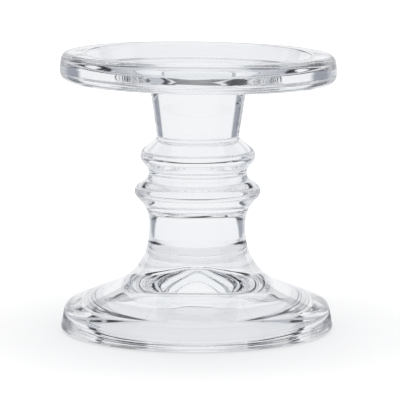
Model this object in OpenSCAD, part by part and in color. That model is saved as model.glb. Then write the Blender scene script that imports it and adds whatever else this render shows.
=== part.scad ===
// Footed glass candlestick: a pillar-candle plate carried on a ringed stem and a hollow bell foot.
// Six pieces of clear glass stand on one upright axis and are fused face to face, bottom to top:
// foot, stem, lower ring, upper ring, neck and plate.
// Millimetres, +Z up, origin at the centre of the ring that the foot rests on.

/* [Foot] */
// Diameter of the foot where its side wall would meet the table
foot_d = 100.4; // [96:0.1:106]
// Height of the corner between the side wall and the sloping top of the foot
foot_rim_h = 9.3; // [8.6:0.1:11]
// How far the side wall leans inwards over that height
foot_draft = 1.9; // [0.5:0.1:3]
// Radius that rounds the shoulder of the foot
foot_shoulder_r = 4.1; // [2:0.1:5.5]
// Radius of the outer edge that touches the table
foot_edge_r = 1.4; // [0.5:0.1:2]
// Radius of the sweep from the foot into the stem
foot_sweep_r = 20.5; // [12:0.5:24]
// Height of the fused joint between foot and stem
foot_joint_h = 27; // [25:0.5:32]

/* [Hollow under the foot] */
// Diameter of the hollow at its wall
hollow_d = 72.8; // [70:0.2:76]
// Height at which the hollow's conical ceiling would meet its wall
hollow_wall_h = 7.6; // [7.3:0.1:8.4]
// Radius between wall and ceiling
hollow_corner_r = 6.1; // [2:0.1:6.5]
// Highest point of the hollow, at its crown
crown_h = 20; // [18:0.1:22]
// Diameter of the flat crown before it is rounded off
crown_d = 5.6; // [4:0.1:8]
// Radius between crown and ceiling
crown_edge_r = 9.3; // [4:0.1:11]
// Radius of the rounded inner edge of the resting ring
bead_r = 3; // [1:0.1:3.3]

/* [Stem] */
// Diameter of the stem at its root
stem_root_d = 37; // [34:0.1:40]
// Height of the stem's root on the slope of the foot
stem_root_h = 21.3; // [20.5:0.1:23]
// Diameter of the stem below the lower ring
stem_top_d = 34.7; // [32:0.1:36]
// Height at which the lower ring begins to spread from the stem
stem_top_h = 43.2; // [41:0.1:44.8]
// Radius of that spread
stem_spread_r = 12.5; // [6:0.5:13]
// Height of the fused joint between stem and lower ring
stem_joint_h = 44.5; // [43:0.1:47]

/* [Rings] */
// Diameter of the lower ring at the tip of its sloping faces
lower_ring_d = 49; // [46:0.1:51]
// Height of the lower ring's tip
lower_ring_h = 51.3; // [50.5:0.1:52]
// Radius that rounds the lower ring's tip
lower_tip_r = 2.8; // [1.5:0.1:3]
// Diameter of the groove between the rings at the bottom of its slopes
groove_d = 32.6; // [31:0.1:36]
// Height of the groove, where the two rings are fused
groove_h = 56.7; // [56:0.1:57.5]
// Radius that rounds the groove
groove_r = 3.6; // [1.5:0.1:3.8]
// Diameter of the upper ring at the tip of its sloping faces
upper_ring_d = 44.8; // [43:0.1:47]
// Height of the upper ring's tip
upper_ring_h = 64.2; // [63:0.1:65]
// Radius that rounds the upper ring's tip
upper_tip_r = 3.4; // [1.5:0.1:3.6]

/* [Neck] */
// Diameter of the neck at its root
neck_root_d = 29.8; // [27:0.1:31]
// Height of the neck's root, where it is fused to the upper ring
neck_root_h = 70.4; // [69.5:0.1:72]
// Radius at the neck's root
neck_root_r = 1.6; // [0.5:0.1:2]
// Diameter of the neck where it would reach the underside of the plate
neck_top_d = 36.4; // [34:0.1:39]
// Radius of the sweep from the neck into the plate
neck_sweep_r = 6.3; // [2:0.1:7]
// Height of the fused joint between neck and plate
neck_joint_h = 83.5; // [82:0.5:86.5]

/* [Plate] */
// Diameter of the plate at the belly of its rim
plate_d = 100.7; // [96:0.1:106]
// Height of that belly
belly_h = 96.8; // [96:0.1:97]
// Radius of the belly
belly_r = 18; // [6:0.1:20]
// How far the foot of the rim lies inside the belly
rim_low_inset = 0.15; // [0.05:0.05:0.3]
// How far the crest of the rim lies inside the belly
rim_high_inset = 0.85; // [0.6:0.05:1.0]
// Height of the lowest edge of the plate's rim
rim_bottom_h = 90.9; // [90.2:0.1:91.5]
// Overall height, at the crest of the plate's rim
height = 101.2; // [101:0.1:104]
// Radius of the rim's lower outer edge
rim_low_r = 3.2; // [1:0.1:3.8]
// Radius of the rim's upper outer edge
rim_high_r = 2.7; // [1:0.1:3]
// Diameter of the hollow under the plate
lip_d = 82.1; // [80:0.1:88]
// How far the wall of that hollow opens out towards its mouth
lip_flare = 0.2; // [0:0.1:2]
// Radius between that wall and the plate's underside
lip_corner_r = 1.1; // [0.4:0.1:1.8]
// Radius of the rim's lower inner edge
lip_edge_r = 1.1; // [0.3:0.1:1.2]
// Height of the plate's underside at the neck
ceiling_h = 92.6; // [92:0.1:94]
// How much higher the underside is at the rim
ceiling_rise = 1.2; // [0.4:0.1:1.4]
// Diameter of the dish that takes the candle, at its floor
dish_d = 77.8; // [76:0.1:82]
// How far the wall of the dish opens out towards the crest
dish_flare = 2.8; // [0.5:0.1:4]
// Height of the dish floor that the candle stands on
dish_floor_h = 95.6; // [95.4:0.1:97.5]
// Radius of the dish's edge, at the crest and at the floor
dish_edge_r = 1.3; // [0.3:0.1:1.8]

/* [Smoothness] */
// Angle between the points of a rounded corner
arc_step = 6; // [3:1:12]
// Sides of a full turn
turn_sides = 128; // [64:8:256]

/* [Hidden] */
// The glass is nearly colourless, with a trace of cool grey
glass_tint = [0.90, 0.93, 0.95, 0.45];

// Corners of the half section as [radius from the axis, height, rounding radius],
// from the top of the hollow under the foot, round the outside, to the middle of the dish.
hollow_corners = [
    [0, crown_h, 0],
    [crown_d / 2, crown_h, crown_edge_r],
    [hollow_d / 2, hollow_wall_h, hollow_corner_r],
    [hollow_d / 2, 0, bead_r]
];
foot_corners = [
    [foot_d / 2, 0, foot_edge_r],
    [foot_d / 2 - foot_draft, foot_rim_h, foot_shoulder_r],
    [stem_root_d / 2, stem_root_h, foot_sweep_r]
];
ring_corners = [
    [stem_top_d / 2, stem_top_h, stem_spread_r],
    [lower_ring_d / 2, lower_ring_h, lower_tip_r],
    [groove_d / 2, groove_h, groove_r],
    [upper_ring_d / 2, upper_ring_h, upper_tip_r]
];
neck_corners = [
    [neck_root_d / 2, neck_root_h, neck_root_r],
    [neck_top_d / 2, ceiling_h, neck_sweep_r]
];
plate_corners = [
    [lip_d / 2, ceiling_h + ceiling_rise, lip_corner_r],
    [lip_d / 2 + lip_flare, rim_bottom_h, lip_edge_r],
    [plate_d / 2 - rim_low_inset, rim_bottom_h, rim_low_r],
    [plate_d / 2, belly_h, belly_r],
    [plate_d / 2 - rim_high_inset, height, rim_high_r],
    [dish_d / 2 + dish_flare, height, dish_edge_r],
    [dish_d / 2, dish_floor_h, dish_edge_r],
    [0, dish_floor_h, 0]
];
corners = concat(hollow_corners, foot_corners, ring_corners, neck_corners, plate_corners);

function point(corner) = [corner[0], corner[1]];
function unit(v) = v / norm(v);
function heading(v) = atan2(v[1], v[0]);
// The shorter way round from heading a to heading b
function turn(a, b) = (b - a + 540) % 360 - 180;

// Points that replace corner i of a path by an arc tangent to both of its sides.
function rounded_corner(path, i) =
    let (
        p = point(path[i]),
        r = path[i][2],
        back = unit(point(path[i - 1]) - p),
        ahead = unit(point(path[i + 1]) - p),
        half = acos(back * ahead) / 2,
        centre = p + unit(back + ahead) * r / sin(half),
        start = p + back * r / tan(half),
        end = p + ahead * r / tan(half),
        a0 = heading(start - centre),
        sweep = turn(a0, heading(end - centre)),
        steps = max(2, ceil(abs(sweep) / arc_step))
    )
    [for (k = [0:steps]) centre + r * [cos(a0 + sweep * k / steps), sin(a0 + sweep * k / steps)]];

// A path of [x, y, radius] corners with every inner corner rounded; its two ends stay sharp.
function rounded_path(path) =
    let (last = len(path) - 1)
    concat(
        [point(path[0])],
        [for (i = [1:last - 1]) each rounded_corner(path, i)],
        [point(path[last])]
    );

// One piece of glass: the part of the turned section that lies between two heights.
module turned_piece(bottom, top) {
    color(glass_tint)
    rotate_extrude($fn = turn_sides)
    intersection() {
        polygon(rounded_path(corners));
        translate([0, bottom])
            square([max(foot_d, plate_d), top - bottom]);
    }
}

// Bell foot with its resting ring and the cone-shaped hollow underneath
module foot() {
    turned_piece(0, foot_joint_h);
}

// Waisted stem
module stem() {
    turned_piece(foot_joint_h, stem_joint_h);
}

// Wider ring at the top of the stem
module lower_ring() {
    turned_piece(stem_joint_h, groove_h);
}

// Narrower ring under the neck
module upper_ring() {
    turned_piece(groove_h, neck_root_h);
}

// Neck that widens towards the plate
module neck() {
    turned_piece(neck_root_h, neck_joint_h);
}

// Round plate: a thick rim round a thin web, with a dish above it and a shallow hollow below
module plate() {
    turned_piece(neck_joint_h, height);
}

foot();
stem();
lower_ring();
upper_ring();
neck();
plate();
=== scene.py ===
"""A clear glass candlestick on a pale floor, in metres and in the frame of its CAD model.

Each piece of glass is turned again from its own half section, smooth enough to refract cleanly,
and then given the slight lean, tilt and waviness of hand-finished glass. Neighbouring pieces
share a fused face that light crosses as if it weren't there.
"""

import math

import bpy
import numpy as np
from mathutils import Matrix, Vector, noise


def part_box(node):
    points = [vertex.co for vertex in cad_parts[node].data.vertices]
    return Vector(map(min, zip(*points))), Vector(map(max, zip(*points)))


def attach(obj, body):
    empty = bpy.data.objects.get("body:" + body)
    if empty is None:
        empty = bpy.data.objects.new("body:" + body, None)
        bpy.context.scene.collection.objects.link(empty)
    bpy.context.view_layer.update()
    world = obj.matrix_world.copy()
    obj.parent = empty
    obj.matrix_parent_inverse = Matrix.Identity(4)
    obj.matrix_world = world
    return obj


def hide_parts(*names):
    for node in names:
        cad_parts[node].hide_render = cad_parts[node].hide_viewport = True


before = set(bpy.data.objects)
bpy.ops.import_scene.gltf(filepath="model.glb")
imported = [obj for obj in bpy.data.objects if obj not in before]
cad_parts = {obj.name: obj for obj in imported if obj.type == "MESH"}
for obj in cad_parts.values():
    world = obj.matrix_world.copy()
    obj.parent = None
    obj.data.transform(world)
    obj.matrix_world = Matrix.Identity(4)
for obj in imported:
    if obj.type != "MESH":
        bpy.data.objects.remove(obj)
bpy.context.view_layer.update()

# Camera
CAMERA_DISTANCE = 1.050
CAMERA_HEIGHT = 0.198
AIM = Vector((0.0012, 0.0, 0.0472))
FOCAL_LENGTH = 261.0
SENSOR = 36.0
CLIP = (0.01, 50.0)

# How finely the glass is turned
SIDES = 288
ROW_STEP = 0.0008
JOINT_STEP = 0.006
FLAT_STEP = 0.0025
AXIS_RADIUS = 1e-7
SHARP_ANGLE = math.radians(60)

# Hand finish: a lean, a tilt of the plate, shallow waves that fade out inside WAVE_CORE, and a fine
# seam at each hot joint that wanders up and down, deepens and fades. Seeds shift the noise.
LEAN = math.radians(0.37)
PLATE_TILT = math.radians(0.8)
WAVE = 0.0001
WAVE_SIZE = 0.017
WAVE_CORE = 0.012
WAVE_SEEDS = (3.1, 11.7)
SEAM_DEPTH = 0.00006
SEAM_REACH = 0.0005
SEAM_WANDER = 0.0004
SEAM_SIZE = 0.0055
SEAM_SPAN = 0.0016
SEAM_STEP = 0.00022
SEAM_SEEDS = (5.3, 9.1)
SEAM_MIDDLE = 0.65
SEAM_CHANGE = 0.8

# Glass
GLASS_IOR = 1.52
GLASS_TINT = (0.985, 0.991, 0.996, 1.0)
SHADOW_TINT = (0.90, 0.915, 0.93, 1.0)
RIPPLE_SCALE = 90.0
RIPPLE_HEIGHT = 0.0005
RIPPLE_STRENGTH = 0.02
HAZE_SCALE = 35.0
HAZE_RANGE = (0.45, 0.9)
HAZE = 0.006


# Outlines ---------------------------------------------------------------------------------


def half_section(node, tolerance=5e-6):
    """A node's outline as an (n, 2) array of radius and height, read off its own mesh."""
    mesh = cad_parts[node].data
    cells, points, ring_of = {}, [], []
    for vertex in mesh.vertices:
        r, z = math.hypot(vertex.co.x, vertex.co.y), vertex.co.z
        i, j = round(r / tolerance), round(z / tolerance)
        around = [(i + a, j + b) for a in (0, -1, 1) for b in (0, -1, 1)]
        near = [cells[cell] for cell in around if cell in cells]
        if not near:
            cells[i, j] = len(points)
            points.append((r, z))
        ring_of.append(near[0] if near else len(points) - 1)
    beside = {k: set() for k in range(len(points))}
    for edge in mesh.edges:
        a, b = (ring_of[v] for v in edge.vertices)
        if a != b:
            beside[a].add(b)
            beside[b].add(a)
    ends = sorted((k for k in beside if len(beside[k]) == 1), key=lambda k: points[k][1])
    path, last = [ends[0]], None
    while len(path) == 1 or len(beside[path[-1]]) > 1:
        step = next(k for k in beside[path[-1]] if k != last)
        last = path[-1]
        path.append(step)
    return np.array([points[k] for k in path])


def row_step(a, b):
    """How finely a stretch of outline is cut into rows: finer close to a joint."""
    near = any(min(a[1], b[1]) - SEAM_SPAN < z < max(a[1], b[1]) + SEAM_SPAN for z in JOINTS)
    return SEAM_STEP if near and max(a[0], b[0]) < WAIST else ROW_STEP


def smooth_curve(points):
    """Points along a smooth curve through a polyline of short arc chords and straight lines."""
    chords = np.diff(points, axis=0)
    lengths = np.hypot(*chords.T)[:, None]
    along = chords / lengths
    weight = lengths**2
    middle = along[:-1] * weight[:-1] + along[1:] * weight[1:]
    tangents = np.vstack([along[:1], middle, along[-1:]])
    tangents /= np.hypot(*tangents.T)[:, None]
    curve = [points[:1]]
    spans = zip(points[:-1], points[1:], tangents[:-1], tangents[1:], lengths)
    for a, b, ta, tb, length in spans:
        t = np.linspace(0, 1, max(2, math.ceil(length[0] / row_step(a, b))) + 1)[1:, None]
        curve.append(
            a * (1 + 2 * t) * (1 - t) ** 2
            + ta * length * t * (1 - t) ** 2
            + b * t**2 * (3 - 2 * t)
            - tb * length * t**2 * (1 - t)
        )
    return np.vstack(curve)


def spoke(radius, height, step):
    """Points of a flat face from its rim at radius to the axis, both left out."""
    count = max(1, round(radius / step))
    return [(radius * k / count, height) for k in range(count - 1, 0, -1)]


# Hand finish ------------------------------------------------------------------------------

JOINTS = [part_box(node)[1].z for node in ("foot", "stem", "lower_ring", "upper_ring", "neck")]
PLATE_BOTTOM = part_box("plate")[0].z
NECK_BOTTOM = JOINTS[3]
# Everything round a joint lies within this radius, and the plate's and the foot's rims outside it.
WAIST = 0.027


def ripple(p, size, seed):
    """Smooth noise between about -1 and 1 that changes over a given size."""
    return noise.noise(Vector((p.x / size, p.y / size, p.z / size + seed)))


def seam(p, radius):
    """How deep the wandering line of a hot joint is pressed into the skin at a point."""
    if radius > WAIST:
        return 0.0
    depth = 0.0
    for index, height in enumerate(JOINTS):
        if abs(p.z - height) < SEAM_SPAN:
            level = Vector((p.x, p.y, 0))
            wander = SEAM_WANDER * ripple(level, SEAM_SIZE * 2, SEAM_SEEDS[0] + index)
            strength = SEAM_MIDDLE + SEAM_CHANGE * ripple(level, SEAM_SIZE, SEAM_SEEDS[1] + index)
            away = (p.z - height - wander) / SEAM_REACH
            depth += SEAM_DEPTH * strength * math.exp(-(away**2))
    return depth


def worked(p):
    """Where hand finishing leaves a point of the true turned shape."""
    out = Vector((p.x, p.y, 0))
    radius = out.length
    q = p.copy()
    if radius > AXIS_RADIUS:
        wave = WAVE * min(1.0, radius / WAVE_CORE) * ripple(p, WAVE_SIZE, WAVE_SEEDS[0])
        q += out / radius * (wave - seam(p, radius))
    q.z += WAVE * ripple(p, WAVE_SIZE, WAVE_SEEDS[1])
    # The plate sits a little askew on its neck, and the whole stand leans with height.
    share = min(1.0, max(0.0, (p.z - NECK_BOTTOM) / (PLATE_BOTTOM - NECK_BOTTOM)))
    share = share * share * (3 - 2 * share)
    q.z -= math.tan(PLATE_TILT) * share * q.x
    q.x += math.tan(LEAN) * p.z
    return q


# Pieces -----------------------------------------------------------------------------------


def turned(name, path, fused_bottom, fused_top):
    """A closed solid of revolution from a path that runs from axis to axis, worked by hand."""
    angles = np.linspace(0, 2 * math.pi, SIDES, endpoint=False)
    vertices, rows = [], []
    for radius, height in path:
        if radius < AXIS_RADIUS:
            rows.append([len(vertices)])
            vertices.append(worked(Vector((0, 0, height))))
            continue
        rows.append(list(range(len(vertices), len(vertices) + SIDES)))
        vertices += [
            worked(Vector((radius * math.cos(a), radius * math.sin(a), height))) for a in angles
        ]
    faces, slots = [], []
    for i, (low, high) in enumerate(zip(rows[:-1], rows[1:])):
        fused = i < fused_bottom or i >= len(rows) - 1 - fused_top
        for k in range(SIDES):
            n = (k + 1) % SIDES
            if len(low) == 1:
                faces.append((low[0], high[n], high[k]))
            elif len(high) == 1:
                faces.append((low[k], low[n], high[0]))
            else:
                faces.append((low[k], low[n], high[n], high[k]))
            slots.append(int(fused))
    mesh = bpy.data.meshes.new(name)
    mesh.from_pydata([tuple(v) for v in vertices], [], faces)
    mesh.polygons.foreach_set("material_index", slots)
    mesh.polygons.foreach_set("use_smooth", [True] * len(faces))
    piece = bpy.data.objects.new(name, mesh)
    bpy.context.scene.collection.objects.link(piece)
    # A fused face is flat, so its edge with the skin stays sharp.
    mesh.set_sharp_from_angle(angle=SHARP_ANGLE)
    return piece


def glass_piece(node, skin, joint, fused_below, fused_above):
    """The visible piece for one CAD node."""
    section = half_section(node)
    curve = smooth_curve(section)
    (r0, z0), (r1, z1) = curve[0], curve[-1]
    bottom = [(0, z0)] + spoke(r0, z0, JOINT_STEP if fused_below else FLAT_STEP)[::-1]
    top = spoke(r1, z1, JOINT_STEP if fused_above else FLAT_STEP) + [(0, z1)]
    path = bottom + [tuple(p) for p in curve] + top
    piece = turned(node + "_glass", path, len(bottom) * fused_below, len(top) * fused_above)
    piece.data.materials.append(skin)
    piece.data.materials.append(joint)
    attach(piece, "root")
    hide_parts(node)
    return piece


# Materials --------------------------------------------------------------------------------


def new_material(name):
    """An empty node material and its tree."""
    material = bpy.data.materials.new(name)
    material.use_nodes = True
    material.node_tree.nodes.clear()
    return material, material.node_tree


def add(tree, kind, **values):
    """A node of a kind, with input values given by name (underscores stand for spaces)."""
    node = tree.nodes.new(kind)
    for key, value in values.items():
        node.inputs[key.replace("_", " ")].default_value = value
    return node


def clear_glass():
    """Clear glass that lets lamps through, with a faint waviness and a breath of haze."""
    material, tree = new_material("clear_glass")
    link = tree.links.new
    output = tree.nodes.new("ShaderNodeOutputMaterial")
    place = tree.nodes.new("ShaderNodeTexCoord")
    glass = add(
        tree,
        "ShaderNodeBsdfPrincipled",
        Base_Color=GLASS_TINT,
        Transmission_Weight=1.0,
        IOR=GLASS_IOR,
    )
    waves = add(tree, "ShaderNodeTexNoise", Scale=RIPPLE_SCALE, Detail=2.0, Roughness=0.4)
    bump = add(tree, "ShaderNodeBump", Strength=RIPPLE_STRENGTH, Distance=RIPPLE_HEIGHT)
    haze = add(tree, "ShaderNodeTexNoise", Scale=HAZE_SCALE, Detail=4.0)
    haze_range = add(
        tree,
        "ShaderNodeMapRange",
        From_Min=HAZE_RANGE[0],
        From_Max=HAZE_RANGE[1],
        To_Min=0.0,
        To_Max=HAZE,
    )
    link(place.outputs["Object"], waves.inputs["Vector"])
    link(waves.outputs["Fac"], bump.inputs["Height"])
    link(bump.outputs["Normal"], glass.inputs["Normal"])
    link(place.outputs["Object"], haze.inputs["Vector"])
    link(haze.outputs["Fac"], haze_range.inputs["Value"])
    link(haze_range.outputs["Result"], glass.inputs["Roughness"])
    shadow = add(tree, "ShaderNodeBsdfTransparent", Color=SHADOW_TINT)
    rays = tree.nodes.new("ShaderNodeLightPath")
    mix = tree.nodes.new("ShaderNodeMixShader")
    link(rays.outputs["Is Shadow Ray"], mix.inputs[0])
    link(glass.outputs[0], mix.inputs[1])
    link(shadow.outputs[0], mix.inputs[2])
    link(mix.outputs[0], output.inputs["Surface"])
    return material


def fused_joint():
    """The inside of a hot joint: light goes straight through."""
    material, tree = new_material("fused_joint")
    output = tree.nodes.new("ShaderNodeOutputMaterial")
    through = add(tree, "ShaderNodeBsdfTransparent", Color=(1, 1, 1, 1))
    tree.links.new(through.outputs[0], output.inputs["Surface"])
    return material


# Stage ------------------------------------------------------------------------------------

# The floor as the lens sees it: white paper that takes the soft shadow, with a painted glow that
# grows brighter further out.
FLOOR_REACH = 4.0
FLOOR_DROP = 0.0002
PAPER_DIFFUSE = (0.5, 0.5, 0.5, 1)
GLOW_DISTANCE = (0.06, 0.22)
GLOW_STRENGTH = (0.50, 0.85)
LENS_WHITE = (1.1, 1.1, 1.1, 1)

# The floor as the glass sees it is a painted glow: greyer paper, an even painted shade under the
# foot, and painted shade where the screens stand further out. Distances are measured from the axis.
SHADE_DISTANCE = (0.046, 0.062)
PAPER_IN_GLASS = (0.905, 0.915, 0.935, 1)
PAINTED_SHADE_BESIDE = (0.62, 0.64, 0.68, 1)
SHADE_IN_GLASS = (0.78, 0.79, 0.81, 1)

# The studio as the glass sees it: a bright screen behind with a dark gap over it, grey walls
# at the sides with slate slits and black flags, and a light overhead in a dark ceiling.
# Angles are degrees to the right of straight back; heights are sines of the angle above level.
BACK_EDGE = 47
SLITS = ((-62, -46), (50, 65))
FLAGS = ((-116, -74), (97, 122))
FRONT_EDGE = 112
FRONT_FADE = 36
FLAG_BASE = 0.12
ANGLE_FADE = 5
HEIGHT_FADE = 0.03
FRONT_LIGHT = (0.71, 0.725, 0.75, 1)
SIDE_LIGHT = (0.48, 0.50, 0.55, 1)
BACK_LIGHT = (0.925, 0.93, 0.945, 1)
TOP_LIGHT = (0.90, 0.91, 0.925, 1)
SLATE = (0.30, 0.32, 0.37, 1)
DARK = (0.015, 0.014, 0.02, 1)
GAP = (0.39, 0.49)
CEILING = (0.66, 0.86)
CEILING_LIGHT = (0.05, 0.055, 0.07, 1)
CEILING_OPENING = 32


def smooth_range(tree, source, low, high, start=0.0, end=1.0):
    """A smooth step of a value from low to high, scaled to run from start to end."""
    reach = add(tree, "ShaderNodeMapRange", From_Min=low, From_Max=high, To_Min=start, To_Max=end)
    reach.interpolation_type = "SMOOTHSTEP"
    tree.links.new(source, reach.inputs["Value"])
    return reach.outputs["Result"]


def blend(tree, share, below, above):
    """A mix of two colours, each given as a value or as a socket."""
    mix = tree.nodes.new("ShaderNodeMix")
    mix.data_type = "RGBA"
    tree.links.new(share, mix.inputs["Factor"])
    for socket, colour in ((mix.inputs["A"], below), (mix.inputs["B"], above)):
        if isinstance(colour, tuple):
            socket.default_value = colour
        else:
            tree.links.new(colour, socket)
    return mix.outputs["Result"]


def inside(tree, source, low, high, fade):
    """One where a value lies between low and high, fading out past them."""
    offset = tree.nodes.new("ShaderNodeMath")
    offset.operation = "SUBTRACT"
    offset.inputs[1].default_value = (low + high) / 2
    size = tree.nodes.new("ShaderNodeMath")
    size.operation = "ABSOLUTE"
    tree.links.new(source, offset.inputs[0])
    tree.links.new(offset.outputs[0], size.inputs[0])
    half = (high - low) / 2
    return smooth_range(tree, size.outputs[0], half, half + fade, 1.0, 0.0)


def turn_from_back(tree, vector):
    """How many degrees a vector is turned to the right of straight back."""
    parts = tree.nodes.new("ShaderNodeSeparateXYZ")
    turn = tree.nodes.new("ShaderNodeMath")
    turn.operation = "ARCTAN2"
    degrees = tree.nodes.new("ShaderNodeMath")
    degrees.operation = "DEGREES"
    tree.links.new(vector, parts.inputs[0])
    tree.links.new(parts.outputs["X"], turn.inputs[0])
    tree.links.new(parts.outputs["Y"], turn.inputs[1])
    tree.links.new(turn.outputs[0], degrees.inputs[0])
    return degrees.outputs[0]


def screens(tree, turn, front, side, back, slit, flag):
    """What stands round the glass: front, side walls, back screen, slits and flags."""
    colour = blend(tree, inside(tree, turn, -FRONT_EDGE, FRONT_EDGE, FRONT_FADE), front, side)
    colour = blend(tree, inside(tree, turn, -BACK_EDGE, BACK_EDGE, ANGLE_FADE), colour, back)
    for low, high in SLITS:
        colour = blend(tree, inside(tree, turn, low, high, ANGLE_FADE), colour, slit)
    for low, high in FLAGS:
        colour = blend(tree, inside(tree, turn, low, high, ANGLE_FADE), colour, flag)
    return colour


def pale_floor():
    """White paper with a soft shadow and a painted glow, which the glass sees greyer, with painted
    shade by the screens.
    """
    material, tree = new_material("pale_floor")
    link = tree.links.new
    output = tree.nodes.new("ShaderNodeOutputMaterial")
    place = tree.nodes.new("ShaderNodeTexCoord").outputs["Object"]
    away = tree.nodes.new("ShaderNodeVectorMath")
    away.operation = "LENGTH"
    link(place, away.inputs[0])
    radius = away.outputs["Value"]
    lit = add(tree, "ShaderNodeBsdfDiffuse", Color=PAPER_DIFFUSE)
    # Painted glow: the paper glows more further from the axis, on top of its lamp-lit shading.
    glow = add(tree, "ShaderNodeEmission", Color=(1, 1, 1, 1))
    link(smooth_range(tree, radius, *GLOW_DISTANCE, *GLOW_STRENGTH), glow.inputs["Strength"])
    open_paper = tree.nodes.new("ShaderNodeAddShader")
    link(lit.outputs[0], open_paper.inputs[0])
    link(glow.outputs[0], open_paper.inputs[1])
    turn = turn_from_back(tree, place)
    # Painted shade: as the glass sees it, the paper is painted darker at the sides, slits and
    # flags.
    paper = screens(
        tree, turn, PAPER_IN_GLASS, PAINTED_SHADE_BESIDE, PAPER_IN_GLASS, SLATE, PAINTED_SHADE_BESIDE
    )
    # Painted shade under the foot, as the glass sees the floor.
    shade = smooth_range(tree, radius, *SHADE_DISTANCE)
    # The glass sees the floor as a painted glow of these colours, not as lit paper.
    seen_paper = add(tree, "ShaderNodeEmission", Strength=1.0)
    link(blend(tree, shade, SHADE_IN_GLASS, paper), seen_paper.inputs["Color"])
    rays = tree.nodes.new("ShaderNodeLightPath")
    mix = tree.nodes.new("ShaderNodeMixShader")
    link(rays.outputs["Is Camera Ray"], mix.inputs[0])
    link(seen_paper.outputs[0], mix.inputs[1])
    link(open_paper.outputs[0], mix.inputs[2])
    link(mix.outputs[0], output.inputs["Surface"])
    return material


def floor():
    """A wide flat floor just under the resting ring."""
    half = FLOOR_REACH
    corners = [(-half, -half, 0), (half, -half, 0), (half, half, 0), (-half, half, 0)]
    mesh = bpy.data.meshes.new("floor")
    mesh.from_pydata(corners, [], [(0, 1, 2, 3)])
    mesh.materials.append(pale_floor())
    ground = bpy.data.objects.new("floor", mesh)
    ground.location.z = -FLOOR_DROP
    bpy.context.scene.collection.objects.link(ground)


def surroundings():
    """The studio as light: plain white to the lens, screens and slits to the glass."""
    world = bpy.data.worlds.new("studio")
    bpy.context.scene.world = world
    world.use_nodes = True
    tree = world.node_tree
    tree.nodes.clear()
    link = tree.links.new
    direction = tree.nodes.new("ShaderNodeTexCoord").outputs["Generated"]
    parts = tree.nodes.new("ShaderNodeSeparateXYZ")
    link(direction, parts.inputs[0])
    up = parts.outputs["Z"]
    turn = turn_from_back(tree, direction)
    back = blend(tree, inside(tree, up, *GAP, HEIGHT_FADE), BACK_LIGHT, DARK)
    raised = smooth_range(tree, up, FLAG_BASE, FLAG_BASE + 2 * HEIGHT_FADE)
    slit = blend(tree, raised, SLATE, DARK)
    flag = blend(tree, raised, SIDE_LIGHT, DARK)
    colour = screens(tree, turn, FRONT_LIGHT, SIDE_LIGHT, back, slit, flag)
    opening = inside(tree, turn, -CEILING_OPENING, CEILING_OPENING, ANGLE_FADE)
    ceiling = blend(tree, opening, CEILING_LIGHT, BACK_LIGHT)
    for height, light in zip(CEILING, (ceiling, TOP_LIGHT)):
        colour = blend(tree, smooth_range(tree, up, height, height + HEIGHT_FADE), colour, light)
    rays = tree.nodes.new("ShaderNodeLightPath")
    colour = blend(tree, rays.outputs["Is Camera Ray"], colour, LENS_WHITE)
    sky = tree.nodes.new("ShaderNodeBackground")
    output = tree.nodes.new("ShaderNodeOutputWorld")
    link(colour, sky.inputs["Color"])
    link(sky.outputs[0], output.inputs["Surface"])


def soft_light(name, place, aim, size, power):
    """A square soft box that the glass itself doesn't show."""
    lamp = bpy.data.lights.new(name, "AREA")
    lamp.shape = "SQUARE"
    lamp.size = size
    lamp.energy = power
    box = bpy.data.objects.new(name, lamp)
    box.location = place
    box.rotation_euler = (Vector(aim) - Vector(place)).to_track_quat("-Z", "Y").to_euler()
    box.visible_glossy = False
    box.visible_transmission = False
    bpy.context.scene.collection.objects.link(box)


def camera():
    """A long lens a little above the plate."""
    lens = bpy.data.cameras.new("camera")
    lens.sensor_width = SENSOR
    lens.lens = FOCAL_LENGTH
    lens.clip_start, lens.clip_end = CLIP
    eye = bpy.data.objects.new("camera", lens)
    eye.location = (0.0, -CAMERA_DISTANCE, CAMERA_HEIGHT)
    eye.rotation_euler = (AIM - eye.location).to_track_quat("-Z", "Y").to_euler()
    bpy.context.scene.collection.objects.link(eye)
    bpy.context.scene.camera = eye


def light_paths():
    """Enough bounces for light that runs round inside thick glass."""
    cycles = bpy.context.scene.cycles
    cycles.max_bounces = 32
    cycles.transmission_bounces = 28
    cycles.glossy_bounces = 20
    cycles.transparent_max_bounces = 48
    cycles.caustics_reflective = False
    cycles.caustics_refractive = False
    bpy.context.scene.view_settings.view_transform = "Standard"


camera()
floor()
surroundings()
soft_light("overhead", place=(0.0, 0.1, 1.4), aim=(0, 0, 0.05), size=1.2, power=12.0)
light_paths()

SKIN = clear_glass()
JOINT = fused_joint()
NODES = ["foot", "stem", "lower_ring", "upper_ring", "neck", "plate"]
for index, node in enumerate(NODES):
    glass_piece(node, SKIN, JOINT, index > 0, index < len(NODES) - 1)
